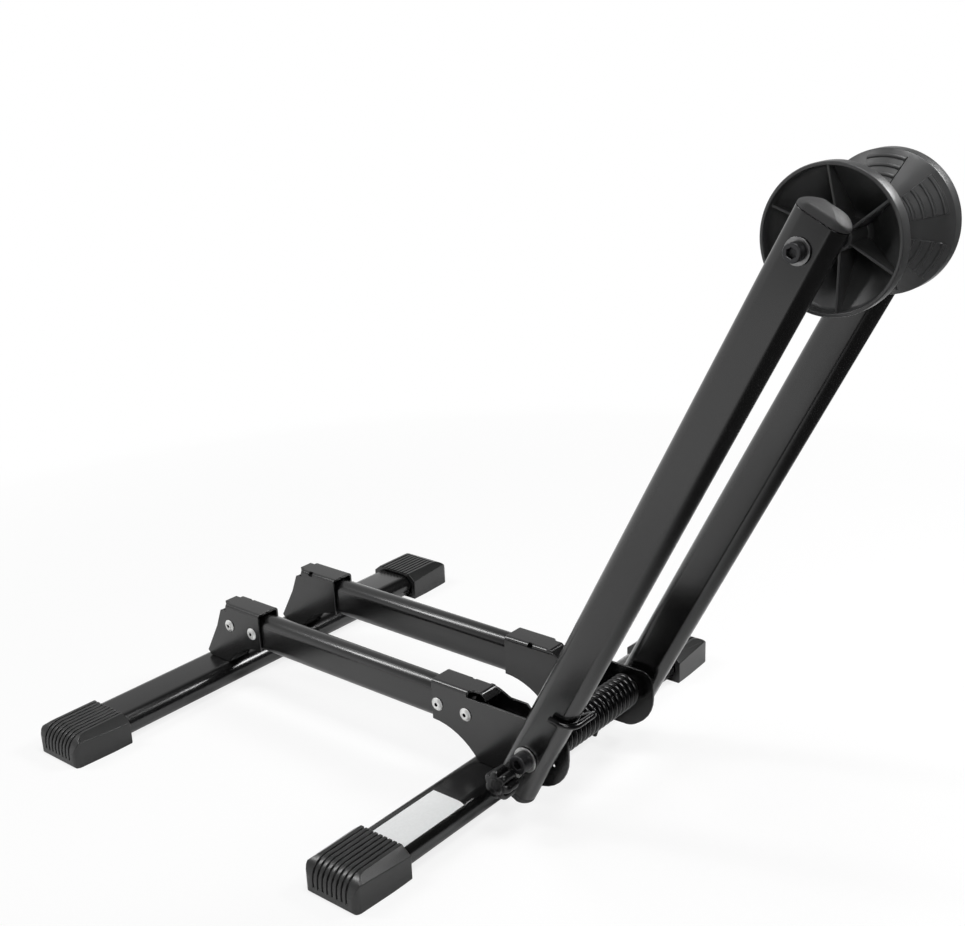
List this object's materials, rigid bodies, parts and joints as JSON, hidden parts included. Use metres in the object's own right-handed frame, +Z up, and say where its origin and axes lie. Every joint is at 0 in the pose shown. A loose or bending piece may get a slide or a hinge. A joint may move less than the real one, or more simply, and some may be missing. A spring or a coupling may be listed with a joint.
{
  "type": "bike parking stand",
  "caption": "Folding floor stand that holds a bicycle by one wheel: capped cross tubes, rails, and sprung arms with cone rollers that press on the tyre.",
  "frame": {"origin": "on the floor, at the bottom centre of the whole object's bounding box at rest", "axes": "+Z up, +Y from the rear cross tube to the arms, +X towards the side with the lock knob"},
  "size_m": [0.4, 0.5624, 0.426],
  "materials": {
    "black_powder_coat": "satin black powder coat on steel",
    "black_rubber": "matt black moulded rubber",
    "black_plastic": "fine-grained black moulded plastic",
    "spacer_plastic": "plain dark plastic",
    "roller_plastic": "matt grey-black moulded plastic",
    "spring_steel": "glossy black coated spring wire",
    "black_oxide": "black oxide on machined steel",
    "zinc_plate": "bright zinc plate"
  },
  "bodies": {
    "base": {"front_cross_tube": "black_powder_coat", "rear_cross_tube": "black_powder_coat", "foot_cap_front_near": "black_rubber", "foot_cap_front_far": "black_rubber", "foot_cap_rear_near": "black_rubber", "foot_cap_rear_far": "black_rubber", "rail_near": "black_powder_coat", "rail_far": "black_powder_coat", "rear_bracket_near": "black_powder_coat", "rear_bracket_far": "black_powder_coat", "front_bracket_near": "black_powder_coat", "front_bracket_far": "black_powder_coat", "rivet_rear_1_near": "zinc_plate", "rivet_rear_2_near": "zinc_plate", "rivet_front_1_near": "zinc_plate", "rivet_front_2_near": "zinc_plate", "rivet_rear_1_far": "zinc_plate", "rivet_rear_2_far": "zinc_plate", "rivet_front_1_far": "zinc_plate", "rivet_front_2_far": "zinc_plate", "pivot_bolt": "black_oxide", "pivot_nut": "zinc_plate", "pivot_washer_near": "zinc_plate", "pivot_washer_far": "zinc_plate", "pivot_spacer_near": "spacer_plastic", "pivot_spacer_far": "spacer_plastic", "spring_sleeve": "spacer_plastic"},
    "arms": {"arm_near": "black_powder_coat", "arm_far": "black_powder_coat", "arm_bush_near": "zinc_plate", "arm_bush_far": "zinc_plate", "arm_top_plug_near": "black_plastic", "arm_top_plug_far": "black_plastic", "arm_foot_plug_near": "black_plastic", "arm_foot_plug_far": "black_plastic", "torsion_spring": "spring_steel", "roller_bolt": "black_oxide", "roller_nut": "zinc_plate", "roller_washer_near": "zinc_plate", "roller_washer_far": "zinc_plate", "roller_spacer_near": "spacer_plastic", "roller_spacer_far": "spacer_plastic", "middle_spacer": "spacer_plastic", "knob_insert": "zinc_plate"},
    "near_roller": {"roller_near": "roller_plastic"},
    "far_roller": {"roller_far": "roller_plastic"},
    "lock_screw": {"lock_stud": "zinc_plate"},
    "lock_handle": {"star_knob": "black_plastic"}
  },
  "joints": [
    {"name": "arm_fold", "type": "hinge", "parent": "base", "child": "arms", "pos_m": [0, 0.06865, 0.0511], "axis": [1, 0, 0], "range_deg": [-12, 113.6], "stiffness_Nm_per_rad": 1.35, "springref_deg": 31.51, "deforming": ["torsion_spring"]},
    {"name": "roller_near_spin", "type": "hinge", "parent": "arms", "child": "near_roller", "pos_m": [0.0209, 0.24285, 0.38769], "axis": [1, 0, 0], "continuous": true},
    {"name": "roller_far_spin", "type": "hinge", "parent": "arms", "child": "far_roller", "pos_m": [-0.0209, 0.24285, 0.38769], "axis": [1, 0, 0], "continuous": true},
    {"name": "lock_screw_travel", "type": "slide", "parent": "arms", "child": "lock_screw", "axis": [1, 0, 0], "range_m": [0, 0.004]},
    {"name": "lock_knob_turn", "type": "hinge", "parent": "lock_screw", "child": "lock_handle", "pos_m": [0.0859, 0.06141, 0.03976], "axis": [1, 0, 0], "range_deg": [0, 1800]}
  ],
  "couplings": [
    {"joint": "lock_knob_turn", "follows": "lock_screw_travel", "rad_per_m": 7854}
  ]
}
